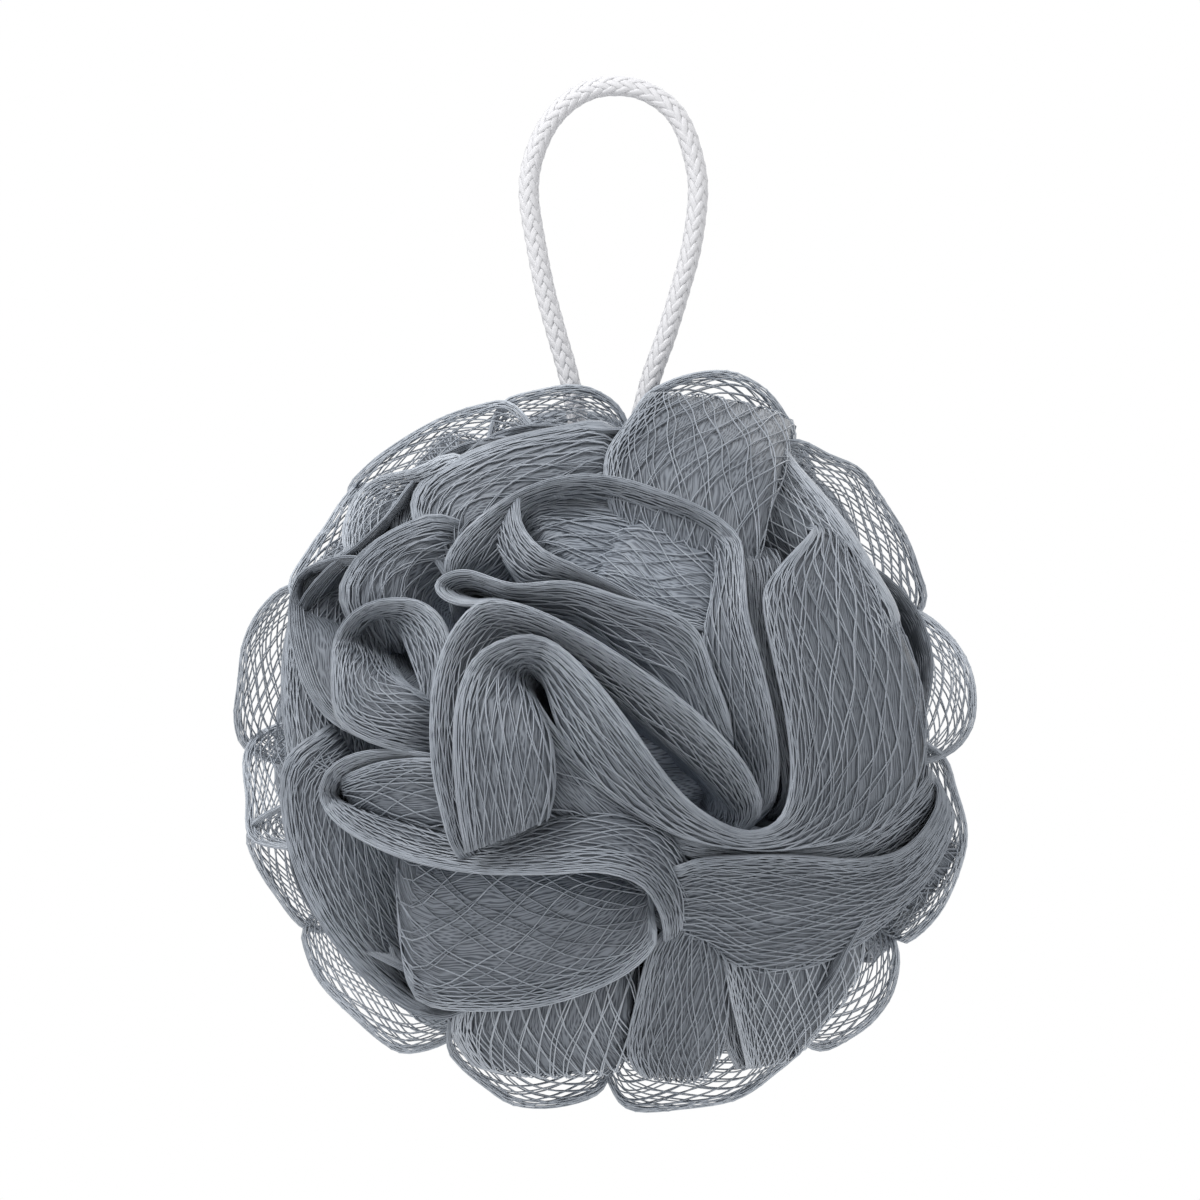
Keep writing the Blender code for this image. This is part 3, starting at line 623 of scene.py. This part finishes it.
def layer_shell(crest, fold, way, inset):
    """Closed thin shell of packed net under a ruffle, down to the gathers, with its lengths as UVs."""
    crest = crest + (fold - crest) * inset
    surface, normal, total = ruffle_surface(crest, fold, LAYER_POINTS, LAYER_ROOT)
    surface, normal = surface[::LAYER_EVERY], normal[::LAYER_EVERY]
    rows, cols = surface.shape[:2]
    half = normal * LAYER_THICKNESS / 2
    points = np.concatenate([surface + half, surface - half])
    along = np.repeat(way[::LAYER_EVERY, None], cols, axis=1)
    across = np.linspace(0.0, 1.0, cols)[None, :] * total[::LAYER_EVERY, None]
    lengths = np.stack([across, along], axis=2).reshape(-1, 2)
    index = np.arange(rows * cols).reshape(rows, cols)
    far = rows * cols
    front = np.stack([index[:-1, :-1], index[:-1, 1:], index[1:, 1:], index[1:, :-1]], axis=-1)
    front = front.reshape(-1, 4)
    border = np.concatenate([index[0, :-1], index[:-1, -1], index[-1, :0:-1], index[:0:-1, 0]])
    after = np.roll(border, -1)
    edges = np.stack([border, border + far, after + far, after], axis=-1)
    quads = np.concatenate([front, front[:, ::-1] + far, edges])
    return points.reshape(-1, 3), quads, np.empty((0, 3), int), np.concatenate([lengths, lengths])


def mesh_piece(name, parts, look, slot):
    """One object from several (vertices, four-sided faces, three-sided faces, UV of each vertex)."""
    vertices, quads, triangles, places, base = [], [], [], [], 0
    for points, four, three, uv in parts:
        vertices.append(points)
        quads.append(four + base)
        triangles.append(three + base)
        places.append(uv)
        base += len(points)
    vertices = np.concatenate(vertices) + CENTRE
    quads, triangles = np.concatenate(quads), np.concatenate(triangles)
    corners = np.concatenate([quads.ravel(), triangles.ravel()])
    mesh = bpy.data.meshes.new(name)
    mesh.vertices.add(len(vertices))
    mesh.vertices.foreach_set("co", vertices.astype(np.float32).ravel())
    mesh.loops.add(len(corners))
    mesh.loops.foreach_set("vertex_index", corners.astype(np.int32))
    mesh.polygons.add(len(quads) + len(triangles))
    starts = np.concatenate([np.arange(len(quads)) * 4, quads.size + np.arange(len(triangles)) * 3])
    mesh.polygons.foreach_set("loop_start", starts.astype(np.int32))
    uv = np.concatenate(places)[corners]
    mesh.uv_layers.new(name="lengths").data.foreach_set("uv", uv.astype(np.float32).ravel())
    mesh.update(calc_edges=True)
    mesh.shade_smooth()
    mesh.materials.append(look)
    piece = bpy.data.objects.new(name, mesh)
    bpy.context.scene.collection.objects.link(piece)
    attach(piece, "root")
    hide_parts(slot)
    return piece


def shader(name, inputs):
    """A new material, its nodes and links, and its surface with the given inputs."""
    made = bpy.data.materials.new(name)
    made.use_nodes = True
    nodes = made.node_tree.nodes
    surface = nodes["Principled BSDF"]
    for key, value in inputs.items():
        surface.inputs[key].default_value = value
    return made, nodes, made.node_tree.links, surface


def noise(nodes, scale, detail=2.0):
    made = nodes.new("ShaderNodeTexNoise")
    made.inputs["Scale"].default_value = scale
    made.inputs["Detail"].default_value = detail
    return made


def two_colours(nodes, colours, low=0.0, high=1.0):
    """A ramp from the first colour at low to the second at high."""
    made = nodes.new("ShaderNodeValToRGB")
    for element, place, colour in zip(made.color_ramp.elements, (low, high), colours):
        element.position = place
        element.color = colour
    return made


def add_bump(nodes, links, height, surface, distance):
    bump = nodes.new("ShaderNodeBump")
    bump.inputs["Strength"].default_value = 0.5
    bump.inputs["Distance"].default_value = distance
    links.new(height, bump.inputs["Height"])
    links.new(bump.outputs["Normal"], surface.inputs["Normal"])


def painted_light_inside(nodes, links, colour, surface, inside):
    """Gives surface the colour with painted light, inside times paler at the gathers, lit through there."""
    place = nodes.new("ShaderNodeTexCoord")
    out = nodes.new("ShaderNodeVectorMath")
    out.operation = "DISTANCE"
    out.inputs[1].default_value = CENTRE
    links.new(place.outputs["Object"], out.inputs[0])
    gain = nodes.new("ShaderNodeMapRange")
    gain.interpolation_type = "SMOOTHSTEP"
    gain.inputs["From Min"].default_value = HEART_RADIUS
    gain.inputs["From Max"].default_value = SURFACE_SHARE * BALL_RADIUS
    gain.inputs["To Min"].default_value = inside
    gain.inputs["To Max"].default_value = 1.0
    links.new(out.outputs["Value"], gain.inputs["Value"])
    scaled = nodes.new("ShaderNodeVectorMath")
    scaled.operation = "SCALE"
    links.new(colour, scaled.inputs[0])
    links.new(gain.outputs["Result"], scaled.inputs["Scale"])
    links.new(scaled.outputs["Vector"], surface.inputs["Base Color"])


def net_material(name, colours):
    """Grey-blue polyethylene strands, each of its own tone, and slightly uneven from stretch to stretch."""
    made, nodes, links, surface = shader(name, {"Roughness": 0.42, "Specular IOR Level": 0.4})
    place = nodes.new("ShaderNodeTexCoord")
    patch = noise(nodes, TONE_PATCHES, detail=3.0)
    own = nodes.new("ShaderNodeUVMap")
    own.uv_map = "lengths"
    parted = nodes.new("ShaderNodeSeparateXYZ")
    blend = nodes.new("ShaderNodeMath")
    blend.operation = "MULTIPLY_ADD"
    blend.inputs[1].default_value = OWN_TONE
    ramp = two_colours(nodes, colours, low=0.4)
    links.new(place.outputs["Object"], patch.inputs["Vector"])
    links.new(own.outputs["UV"], parted.inputs["Vector"])
    links.new(parted.outputs["X"], blend.inputs[0])
    links.new(patch.outputs["Fac"], blend.inputs[2])
    links.new(blend.outputs["Value"], ramp.inputs["Fac"])
    # Painted light: the strands are paler towards the gathers, where the net lies in shade but is lit
    # through
    painted_light_inside(nodes, links, ramp.outputs["Color"], surface, STRANDS_PAINTED_LIGHT)
    return made


def drawn_strands(nodes, links, place, slope, pitch, seed):
    """One set of fine strands over the UV lengths, which wanders on its own and not with the other set."""
    stretch = nodes.new("ShaderNodeMapping")
    stretch.inputs["Scale"].default_value = DRAWN_STRETCH
    stretch.inputs["Location"].default_value = (seed, 0.0, 0.0)
    links.new(place.outputs["UV"], stretch.inputs["Vector"])
    drift = noise(nodes, 1.0)
    links.new(stretch.outputs["Vector"], drift.inputs["Vector"])
    drawn = nodes.new("ShaderNodeVectorMath")
    drawn.operation = "MULTIPLY_ADD"
    drawn.inputs[1].default_value = (DRAWN_WANDER, 0.0, 0.0)
    links.new(drift.outputs["Fac"], drawn.inputs[0])
    links.new(place.outputs["UV"], drawn.inputs[2])
    aslant = nodes.new("ShaderNodeMapping")
    aslant.inputs["Rotation"].default_value[2] = slope
    links.new(drawn.outputs["Vector"], aslant.inputs["Vector"])
    wave = nodes.new("ShaderNodeTexWave")
    wave.inputs["Scale"].default_value = WAVE_UNIT / pitch
    links.new(aslant.outputs["Vector"], wave.inputs["Vector"])
    return wave.outputs["Fac"]


def layer_material():
    """Packed layers of the same net: two sets of fine crossing strands over slits painted a little darker,
    as shade.
    """
    made, nodes, links, surface = shader("net_layers", {"Roughness": 0.5, "Specular IOR Level": 0.3})
    place = nodes.new("ShaderNodeUVMap")
    place.uv_map = "lengths"
    either = nodes.new("ShaderNodeMath")
    either.operation = "MAXIMUM"
    for socket, facts in zip(either.inputs, DRAWN_SETS):
        links.new(drawn_strands(nodes, links, place, *facts), socket)
    # Painted shade: the slits between the drawn strands get the darker colour
    ramp = two_colours(nodes, LAYER_SHADE_AND_STRAND_COLOURS, low=0.30, high=0.95)
    links.new(either.outputs["Value"], ramp.inputs["Fac"])
    # Painted light: the layers are paler towards the gathers, where the net lies in shade but is lit through
    painted_light_inside(nodes, links, ramp.outputs["Color"], surface, LAYERS_PAINTED_LIGHT)
    add_bump(nodes, links, either.outputs["Value"], surface, STRAND_HEIGHT)
    return made


def add_net(name, ruffles, look, step, rng):
    parts = []
    for crest, fold, facts, fine in ruffles:
        crest, fold, way = even_rails(crest, fold, STEP_HAIRPIN if fine else step)
        parts.append(rods(*strand_paths(crest, fold, way, rng, **facts), rng))
    mesh_piece(name, parts, look, "net_sleeve")


def add_layers(name, ruffles, look, step, inset):
    parts = []
    for crest, fold, _, fine in ruffles:
        parts.append(layer_shell(*even_rails(crest, fold, STEP_HAIRPIN if fine else step), inset))
    mesh_piece(name, parts, look, "net_sleeve")


def build_gathers(look, packed):
    """Pleats of the net in the middle, drawn together towards the waist from both sides."""
    rng = np.random.default_rng(GATHER_SEED)
    polar = np.linspace(0.0, math.pi, GATHER_RINGS)[:, None]
    around = (np.arange(GATHER_SIDES) * math.tau / GATHER_SIDES)[None, :]
    bend = GATHER_LEAN * np.sin(2 * polar + 1.0) + GATHER_SWAY * np.sin(3 * around)
    pleats = (around + bend) * GATHER_PLEATS / math.tau
    depth = GATHER_DEPTH * (0.5 + 0.5 * rng.random(GATHER_PLEATS))
    depth = depth[pleats.astype(int) % GATHER_PLEATS]
    radius = HEART_RADIUS + GATHER_LIFT - depth * np.abs(pleats % 1.0 * 2.0 - 1.0) * np.sin(polar)
    ring = radius * np.sin(polar)
    points = np.stack([radius * np.cos(polar), ring * np.cos(around), ring * np.sin(around)], axis=2)
    lengths = np.stack([around * HEART_RADIUS + 0 * polar, polar * HEART_RADIUS + 0 * around], axis=2)
    index = np.arange(GATHER_RINGS * GATHER_SIDES).reshape(GATHER_RINGS, GATHER_SIDES)
    after = np.roll(index, -1, axis=1)
    quads = np.stack([index[1:-2], after[1:-2], after[2:-1], index[2:-1]], axis=-1).reshape(-1, 4)
    points, lengths = points.reshape(-1, 3), lengths.reshape(-1, 2)
    # Each end closes on one point
    ends = []
    for row, pole in ((1, 0), (GATHER_RINGS - 2, GATHER_RINGS - 1)):
        tip = np.full(GATHER_SIDES, index[pole, 0])
        pair = (after[row], index[row]) if row == 1 else (index[row], after[row])
        ends.append(np.stack([tip, *pair], axis=-1))
    used = np.unique(np.concatenate([quads.ravel(), *[e.ravel() for e in ends]]))
    place = np.zeros(len(points), int)
    place[used] = np.arange(len(used))
    parts = [(points[used], place[quads], place[np.concatenate(ends)], lengths[used])]
    mesh_piece("net_gathers", parts, packed, "net_sleeve")

    # Strands over the pleats, in two sets that twist round the ball opposite ways
    rows = np.arange(2, GATHER_RINGS - 2)
    grid = points.reshape(GATHER_RINGS, GATHER_SIDES, 3)
    runs = []
    for direction in (1.0, -1.0):
        starts = np.arange(GATHER_STRANDS)[:, None] * GATHER_SIDES / GATHER_STRANDS
        starts = starts + rng.random((GATHER_STRANDS, 1))
        sides = starts + direction * GATHER_TWIST * np.sin(math.pi * rows / GATHER_RINGS + starts)
        low = np.floor(sides).astype(int)
        part = (sides - low)[..., None]
        near = grid[rows[None, :], low % GATHER_SIDES]
        far = grid[rows[None, :], (low + 1) % GATHER_SIDES]
        runs.append(near * (1 - part) + far * part)
    runs = np.concatenate(runs)
    mesh_piece("net_gather_strands", [rods(runs, unit(runs), rng)], look, "net_sleeve")


def build_net():
    look = net_material("net_strands", NET_COLOURS)
    # Painted light: a paler copy of the strands, for net that light comes through from behind
    thin = net_material("net_backlit_strands", BACKLIT_COLOURS)
    packed = layer_material()
    rng = np.random.default_rng(NET_SEED)
    fronts = {}
    for name, stations in RUFFLES.items():
        cut_start = name in CUT_STARTS
        crest = tucked(np.array([in_ball(*s[:3]) for s in stations]), cut_start)
        fold = tucked(np.array([in_ball(*s[3:]) for s in stations]), cut_start)
        fronts[name] = (crest, fold, OPEN_NET.get(name, {}), name in HAIRPINS)
    names = list(fronts)
    for number, start in enumerate(range(0, len(names), PIECE_RUFFLES)):
        group = names[start : start + PIECE_RUFFLES]
        shade = thin if set(group) & set(SEE_THROUGH) else look
        add_net(f"net_front_{number + 1}", [fronts[n] for n in group], shade, STEP_FRONT, rng)
    backs = [(*map(turned_back, fronts[n][:2]), *fronts[n][2:]) for n in names if n in BACK_RUFFLES]
    for number, start in enumerate(range(0, len(backs), BACK_PIECE_RUFFLES)):
        group = backs[start : start + BACK_PIECE_RUFFLES]
        add_net(f"net_back_{number + 1}", group, look, STEP_OTHERS, rng)
    rims = [(*map(tucked, rim_rails(*facts)), OPEN_RIM, False) for facts in RIM_PETALS.values()]
    add_net("net_rim_1", rims[:RIM_PIECE_PETALS], thin, STEP_RIM, rng)
    add_net("net_rim_2", rims[RIM_PIECE_PETALS:], thin, STEP_RIM, rng)
    belts = []
    for side, name in ((-1.0, "net_belt_front"), (1.0, "net_belt_back")):
        belts.append([(*map(tucked, belt_rails(side, k)), {}, False) for k in range(BELT_RUFFLES)])
        add_net(name, belts[-1], look, STEP_OTHERS, rng)
    closed = [fronts[n] for n in names if n not in SEE_THROUGH]
    add_layers("net_layers_front", closed, packed, STEP_FRONT, LAYER_INSET)
    add_layers("net_layers_back", backs, packed, STEP_OTHERS, LAYER_INSET)
    add_layers("net_layers_belts", belts[0] + belts[1], packed, STEP_OTHERS, LAYER_INSET)
    thin_ruffles = rims + [fronts[n] for n in SEE_THROUGH]
    add_layers("net_layers_rim", thin_ruffles, packed, STEP_OTHERS, RIM_LAYER_INSET)
    build_gathers(look, packed)


def cord_route():
    """Points of the cord's middle line, from its left end on the twine over the loop to its right end."""
    loop = [in_ball(px, py, 0.0) for px, py in LOOP_PIXELS]
    foot = TWINE_OUTER + SEAT_GAP
    knee = foot + 2 * CORD_DIAMETER
    left = [np.array((-LEG_OFFSET, 0.0, foot)), np.array((-LEG_OFFSET, 0.0, knee))]
    right = [np.array((LEG_OFFSET, 0.0, knee)), np.array((LEG_OFFSET, 0.0, foot))]
    fine = smooth(left + loop + right, ROUTE_STEPS)
    way = travelled(fine)
    wanted = np.linspace(0.0, way[-1], round(way[-1] / CORD_STEP) + 1)
    return picked(fine, way, wanted), wanted


def tube(middles, firsts, seconds, width, height, sides):
    """Closed tube with an oval section along middles, and its lengths as UVs."""
    count = len(middles)
    angles = np.arange(sides) * math.tau / sides
    ring = middles[:, None] + firsts[:, None] * (np.cos(angles) * width / 2)[None, :, None]
    ring = ring + seconds[:, None] * (np.sin(angles) * height / 2)[None, :, None]
    index = np.arange(count * sides).reshape(count, sides)
    after = np.roll(index, -1, axis=1)
    quads = np.stack([index[:-1], after[:-1], after[1:], index[1:]], axis=-1).reshape(-1, 4)
    caps = []
    for row, flip in ((0, 1), (count - 1, -1)):
        fan = index[row][::flip]
        caps.append(np.stack([np.full(sides - 2, fan[0]), fan[2:], fan[1:-1]], axis=-1))
    lengths = travelled(middles)[:, None]
    uv = np.stack(np.broadcast_arrays(angles[None, :] * width / 2, lengths), axis=2)
    return ring.reshape(-1, 3), quads, np.concatenate(caps), uv.reshape(-1, 2)


def cord_material():
    """White polyester yarn with fine filaments along each strand of the braid."""
    made, nodes, links, surface = shader("cord_yarn", {"Roughness": 0.6, "Sheen Weight": 0.15})
    place = nodes.new("ShaderNodeUVMap")
    place.uv_map = "lengths"
    stretch = nodes.new("ShaderNodeMapping")
    stretch.inputs["Scale"].default_value = CORD_FIBRES
    links.new(place.outputs["UV"], stretch.inputs["Vector"])
    fibre = noise(nodes, 1.0)
    links.new(stretch.outputs["Vector"], fibre.inputs["Vector"])
    ramp = two_colours(nodes, CORD_COLOURS, low=0.3, high=0.65)
    links.new(fibre.outputs["Fac"], ramp.inputs["Fac"])
    links.new(ramp.outputs["Color"], surface.inputs["Base Color"])
    add_bump(nodes, links, fibre.outputs["Fac"], surface, CORD_FIBRE_DEPTH)
    return made


def build_cord():
    route, way = cord_route()
    along = unit(np.gradient(route, axis=0))
    back = np.broadcast_to((0.0, 1.0, 0.0), route.shape)
    across = np.cross(back, along)
    middle_radius = CORD_DIAMETER / 2 - CORD_WAVE - CORD_STRAND_THICKNESS / 2
    parts = [tube(route, across, back, 2 * CORD_CORE_RADIUS, 2 * CORD_CORE_RADIUS, CORD_CORE_SIDES)]
    for direction in (1.0, -1.0):
        for k in range(CORD_STRANDS):
            turn = math.tau * (direction * way / CORD_LAY + k / CORD_STRANDS)
            radius = middle_radius + direction * CORD_WAVE * np.cos(4 * turn + math.pi / 4)
            out = across * np.cos(turn)[:, None] + back * np.sin(turn)[:, None]
            middles = route + out * radius[:, None]
            beside = unit(np.cross(out, np.gradient(middles, axis=0)))
            section = (CORD_STRAND_WIDTH, CORD_STRAND_THICKNESS, CORD_STRAND_SIDES)
            parts.append(tube(middles, beside, out, *section))
    loop = mesh_piece("hanging_loop", parts, cord_material(), "hanging_cord")


def build_twine_look():
    """White twine, whose turns are the part's own."""
    made, nodes, links, surface = shader("twine_yarn", {"Roughness": 0.65})
    place = nodes.new("ShaderNodeTexCoord")
    fibre = noise(nodes, TWINE_FIBRES)
    ramp = two_colours(nodes, TWINE_COLOURS)
    links.new(place.outputs["Object"], fibre.inputs["Vector"])
    links.new(fibre.outputs["Fac"], ramp.inputs["Fac"])
    links.new(ramp.outputs["Color"], surface.inputs["Base Color"])
    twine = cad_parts["waist_twine"]
    for slot in twine.material_slots:
        slot.material = made


def build_camera():
    scale = BALL_RADIUS / VIEW_RADIUS
    data = bpy.data.cameras.new("photo_camera")
    data.sensor_width = SENSOR_WIDTH
    data.lens = data.sensor_width * CAMERA_DISTANCE / (PHOTO_SIZE * scale)
    data.clip_end = CLIP_END
    camera = bpy.data.objects.new("photo_camera", data)
    camera.location = (
        CENTRE[0] + (PHOTO_SIZE / 2 - VIEW_CENTRE[0]) * scale,
        -CAMERA_DISTANCE,
        CENTRE[2] + (VIEW_CENTRE[1] - PHOTO_SIZE / 2) * scale,
    )
    camera.rotation_euler = (math.pi / 2, 0.0, 0.0)
    bpy.context.scene.collection.objects.link(camera)
    bpy.context.scene.camera = camera


def area_lamp(name, place, size, power):
    """A lamp that faces the ball's middle."""
    data = bpy.data.lights.new(name, "AREA")
    data.size = size
    data.energy = power
    lamp = bpy.data.objects.new(name, data)
    lamp.location = place
    lamp.rotation_euler = (Vector(CENTRE) - Vector(place)).to_track_quat("-Z", "Y").to_euler()
    bpy.context.scene.collection.objects.link(lamp)


def background_rays(nodes, links):
    """1 for the rays that show the background: the camera's, and those off gloss or through glass."""
    rays = nodes.new("ShaderNodeLightPath")
    glossy = nodes.new("ShaderNodeMath")
    glossy.operation = "MAXIMUM"
    links.new(rays.outputs["Is Camera Ray"], glossy.inputs[0])
    links.new(rays.outputs["Is Glossy Ray"], glossy.inputs[1])
    through = nodes.new("ShaderNodeMath")
    through.operation = "MAXIMUM"
    links.new(glossy.outputs["Value"], through.inputs[0])
    links.new(rays.outputs["Is Transmission Ray"], through.inputs[1])
    return through.outputs["Value"]


def build_light():
    scene = bpy.context.scene
    scene.view_settings.view_transform = "Standard"
    world = bpy.data.worlds.new("studio")
    scene.world = world
    world.use_nodes = True
    nodes, links = world.node_tree.nodes, world.node_tree.links
    back = nodes["Background"]
    back.inputs["Color"].default_value = (1, 1, 1, 1)
    back.inputs["Strength"].default_value = WORLD_LIGHT
    seen = nodes.new("ShaderNodeBackground")
    seen.inputs["Color"].default_value = (1, 1, 1, 1)
    seen.inputs["Strength"].default_value = 1.0
    mix = nodes.new("ShaderNodeMixShader")
    links.new(background_rays(nodes, links), mix.inputs["Fac"])
    links.new(back.outputs["Background"], mix.inputs[1])
    links.new(seen.outputs["Background"], mix.inputs[2])
    links.new(mix.outputs["Shader"], nodes["World Output"].inputs["Surface"])
    for name, facts in LAMPS.items():
        area_lamp(name, *facts)


def build_floor():
    """Pale floor under the hanging ball, outside the photograph's frame."""
    turns = np.arange(FLOOR_SIDES) * math.tau / FLOOR_SIDES
    ring = [(FLOOR_RADIUS * math.cos(a), FLOOR_RADIUS * math.sin(a), FLOOR_LEVEL) for a in turns]
    mesh = bpy.data.meshes.new("floor")
    mesh.from_pydata(ring, [], [tuple(range(FLOOR_SIDES))])
    made, nodes, links, surface = shader("floor_white", {"Roughness": 0.8})
    place = nodes.new("ShaderNodeTexCoord")
    grain = noise(nodes, FLOOR_GRAIN)
    ramp = two_colours(nodes, FLOOR_COLOURS)
    links.new(place.outputs["Object"], grain.inputs["Vector"])
    links.new(grain.outputs["Fac"], ramp.inputs["Fac"])
    links.new(ramp.outputs["Color"], surface.inputs["Base Color"])
    # The camera sees the floor near white, with the ball's shadow still on it
    glow = nodes.new("ShaderNodeEmission")
    share = nodes.new("ShaderNodeMath")
    share.operation = "MULTIPLY"
    share.inputs[1].default_value = FLOOR_WHITE
    mix = nodes.new("ShaderNodeMixShader")
    links.new(background_rays(nodes, links), share.inputs[0])
    links.new(share.outputs["Value"], mix.inputs["Fac"])
    links.new(surface.outputs["BSDF"], mix.inputs[1])
    links.new(glow.outputs["Emission"], mix.inputs[2])
    links.new(mix.outputs["Shader"], nodes["Material Output"].inputs["Surface"])
    mesh.materials.append(made)
    floor = bpy.data.objects.new("floor", mesh)
    bpy.context.scene.collection.objects.link(floor)


build_camera()
build_light()
build_floor()
build_cord()
build_twine_look()
build_net()
